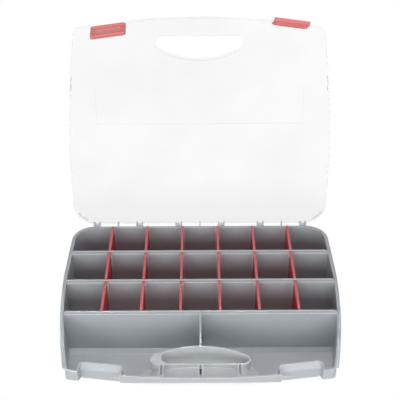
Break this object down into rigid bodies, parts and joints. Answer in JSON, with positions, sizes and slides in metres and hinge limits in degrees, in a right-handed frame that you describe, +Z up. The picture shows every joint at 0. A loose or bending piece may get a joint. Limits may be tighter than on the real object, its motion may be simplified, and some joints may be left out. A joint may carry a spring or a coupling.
{
  "type": "compartment storage box",
  "caption": "Flat moulded organiser case with a hinged clear lid, two snap latches, lift-out dividers and a carrying hand hole.",
  "frame": {"origin": "on the flat underside, on the centre line, 131 mm in front of the lid's hinge axis", "axes": "+X to the box's right, +Y to its hinge side, +Z up; the latches and the grip are at -Y"},
  "size_m": [0.32, 0.3197, 0.3186],
  "materials": {
    "tray": "fine satin moulded polypropylene",
    "lid": "clear moulded, slightly frosted",
    "latch": "satin moulded",
    "divider": "satin moulded"
  },
  "bodies": {
    "tray": {"tray": "tray"},
    "lid": {"lid": "lid"},
    "latch_left": {"latch_left": "latch"},
    "latch_right": {"latch_right": "latch"},
    "divider_row1_1": {"divider_row1_1": "divider"},
    "divider_row1_2": {"divider_row1_2": "divider"},
    "divider_row1_3": {"divider_row1_3": "divider"},
    "divider_row1_4": {"divider_row1_4": "divider"},
    "divider_row1_5": {"divider_row1_5": "divider"},
    "divider_row1_6": {"divider_row1_6": "divider"},
    "divider_row2_1": {"divider_row2_1": "divider"},
    "divider_row2_2": {"divider_row2_2": "divider"},
    "divider_row2_3": {"divider_row2_3": "divider"},
    "divider_row2_4": {"divider_row2_4": "divider"},
    "divider_row2_5": {"divider_row2_5": "divider"},
    "divider_row2_6": {"divider_row2_6": "divider"},
    "divider_row3_1": {"divider_row3_1": "divider"},
    "divider_row3_2": {"divider_row3_2": "divider"},
    "divider_row3_3": {"divider_row3_3": "divider"},
    "divider_row3_4": {"divider_row3_4": "divider"},
    "divider_row3_5": {"divider_row3_5": "divider"},
    "divider_row3_6": {"divider_row3_6": "divider"}
  },
  "joints": [
    {"name": "lid_hinge", "type": "hinge", "parent": "tray", "child": "lid", "pos_m": [0, 0.131, 0.054], "axis": [-1, 0, 0], "range_deg": [-101, 0]},
    {"name": "latch_left_pivot", "type": "hinge", "parent": "lid", "child": "latch_left", "pos_m": [-0.1046, 0.18083, 0.30196], "axis": [-0.9911, -0.0254, -0.1306], "range_deg": [-5.5, 100]},
    {"name": "latch_right_pivot", "type": "hinge", "parent": "lid", "child": "latch_right", "pos_m": [0.1046, 0.18083, 0.30196], "axis": [-0.9911, 0.0254, 0.1306], "range_deg": [-47.5, 58]},
    {"name": "divider_row1_1_lift", "type": "slide", "parent": "tray", "child": "divider_row1_1", "axis": [0, 0, 1], "range_m": [0, 0.056]},
    {"name": "divider_row1_2_lift", "type": "slide", "parent": "tray", "child": "divider_row1_2", "axis": [0, 0, 1], "range_m": [0, 0.056]},
    {"name": "divider_row1_3_lift", "type": "slide", "parent": "tray", "child": "divider_row1_3", "axis": [0, 0, 1], "range_m": [0, 0.056]},
    {"name": "divider_row1_4_lift", "type": "slide", "parent": "tray", "child": "divider_row1_4", "axis": [0, 0, 1], "range_m": [0, 0.056]},
    {"name": "divider_row1_5_lift", "type": "slide", "parent": "tray", "child": "divider_row1_5", "axis": [0, 0, 1], "range_m": [0, 0.056]},
    {"name": "divider_row1_6_lift", "type": "slide", "parent": "tray", "child": "divider_row1_6", "axis": [0, 0, 1], "range_m": [0, 0.056]},
    {"name": "divider_row2_1_lift", "type": "slide", "parent": "tray", "child": "divider_row2_1", "axis": [0, 0, 1], "range_m": [0, 0.056]},
    {"name": "divider_row2_2_lift", "type": "slide", "parent": "tray", "child": "divider_row2_2", "axis": [0, 0, 1], "range_m": [0, 0.056]},
    {"name": "divider_row2_3_lift", "type": "slide", "parent": "tray", "child": "divider_row2_3", "axis": [0, 0, 1], "range_m": [0, 0.056]},
    {"name": "divider_row2_4_lift", "type": "slide", "parent": "tray", "child": "divider_row2_4", "axis": [0, 0, 1], "range_m": [0, 0.056]},
    {"name": "divider_row2_5_lift", "type": "slide", "parent": "tray", "child": "divider_row2_5", "axis": [0, 0, 1], "range_m": [0, 0.056]},
    {"name": "divider_row2_6_lift", "type": "slide", "parent": "tray", "child": "divider_row2_6", "axis": [0, 0, 1], "range_m": [0, 0.056]},
    {"name": "divider_row3_1_lift", "type": "slide", "parent": "tray", "child": "divider_row3_1", "axis": [0, 0, 1], "range_m": [0, 0.056]},
    {"name": "divider_row3_2_lift", "type": "slide", "parent": "tray", "child": "divider_row3_2", "axis": [0, 0, 1], "range_m": [0, 0.056]},
    {"name": "divider_row3_3_lift", "type": "slide", "parent": "tray", "child": "divider_row3_3", "axis": [0, 0, 1], "range_m": [0, 0.056]},
    {"name": "divider_row3_4_lift", "type": "slide", "parent": "tray", "child": "divider_row3_4", "axis": [0, 0, 1], "range_m": [0, 0.056]},
    {"name": "divider_row3_5_lift", "type": "slide", "parent": "tray", "child": "divider_row3_5", "axis": [0, 0, 1], "range_m": [0, 0.056]},
    {"name": "divider_row3_6_lift", "type": "slide", "parent": "tray", "child": "divider_row3_6", "axis": [0, 0, 1], "range_m": [0, 0.056]}
  ]
}
